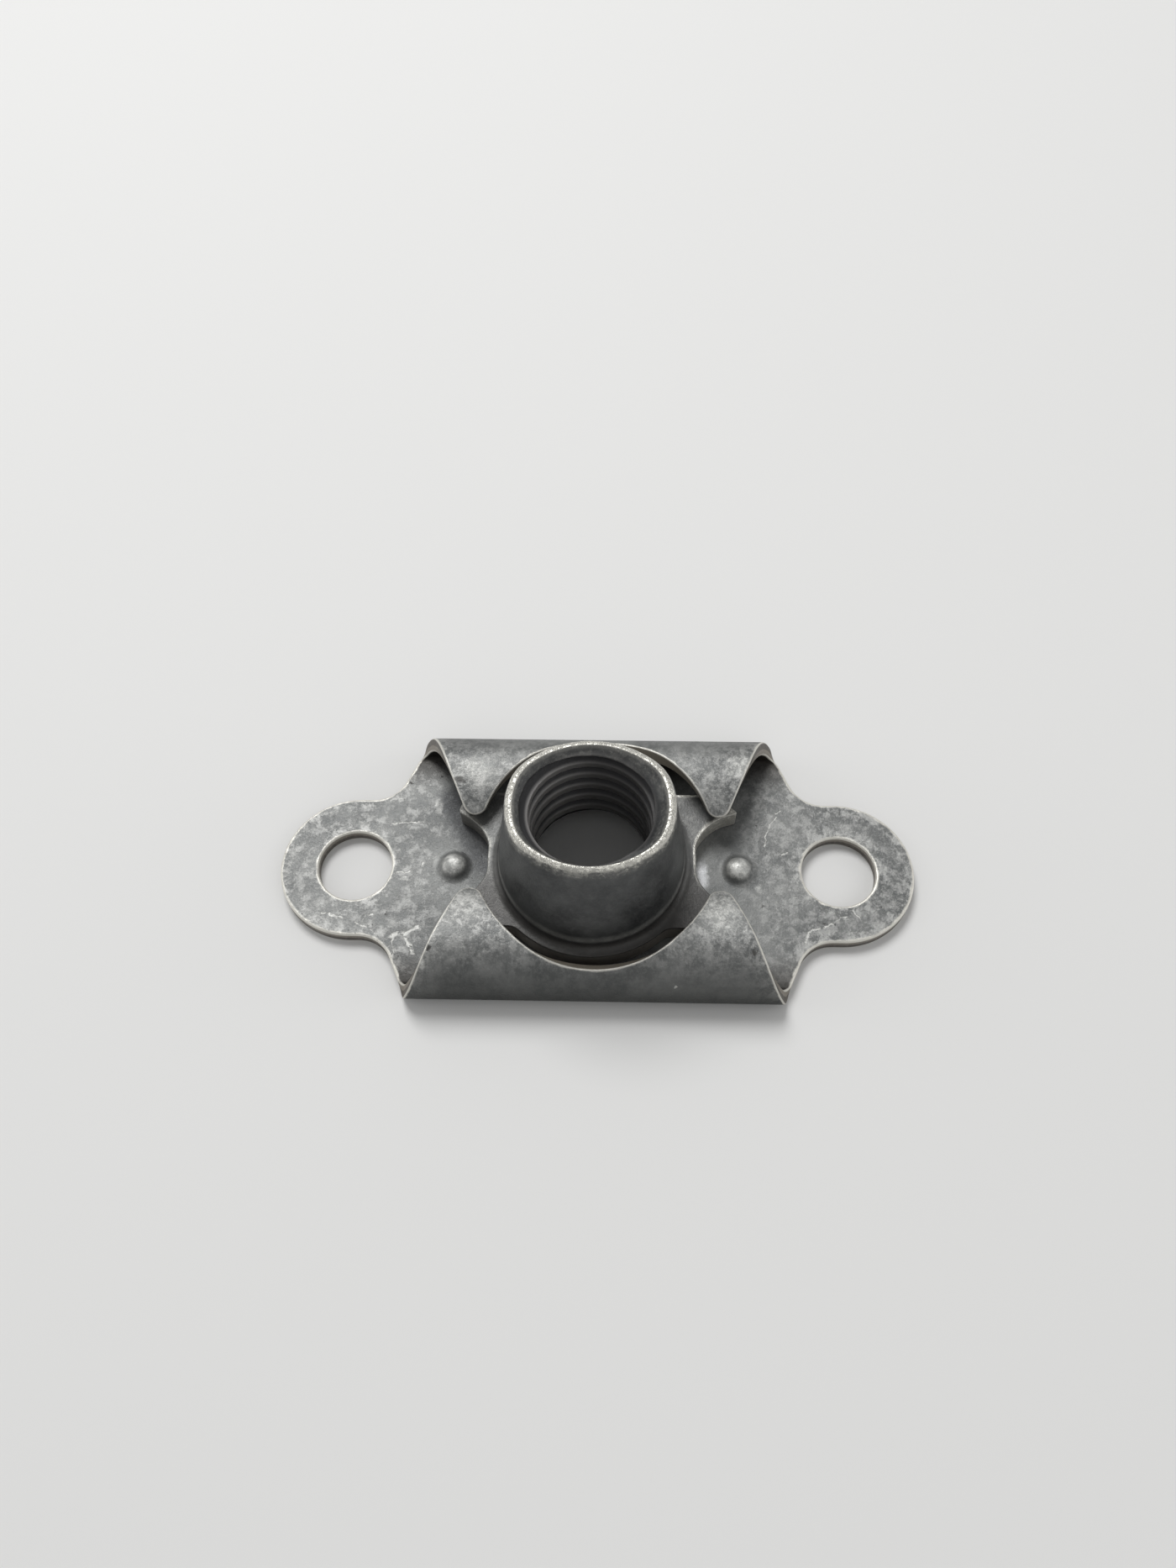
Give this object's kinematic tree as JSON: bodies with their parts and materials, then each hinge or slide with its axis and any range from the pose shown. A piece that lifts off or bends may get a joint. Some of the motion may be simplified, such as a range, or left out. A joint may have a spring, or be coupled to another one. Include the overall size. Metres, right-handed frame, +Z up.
{
  "type": "floating lock nut",
  "caption": "Floating lock nut: a threaded barrel nut held loosely in a folded sheet-steel cage whose lugs are riveted to a panel.",
  "frame": {"origin": "middle of the cage on its underside, halfway between the rivet holes", "axes": "+X along the lugs, +Z up out of the panel along the nut's barrel, +Y across the flaps"},
  "size_m": [0.0228, 0.01, 0.0056],
  "materials": {
    "cage_steel": "dark grey dry-film coated steel, scuffed to bare metal on the lugs and along its cut edges",
    "nut_steel": "darker grey coated steel, worn bright round the rim"
  },
  "bodies": {
    "cage": {"cage": "cage_steel"},
    "nut": {"nut_element": "nut_steel"}
  },
  "joints": [
    {"name": "nut_float", "type": "slide", "parent": "cage", "child": "nut", "axis": [1, 0, 0], "range_m": [-0.0006, 0.0009]}
  ]
}
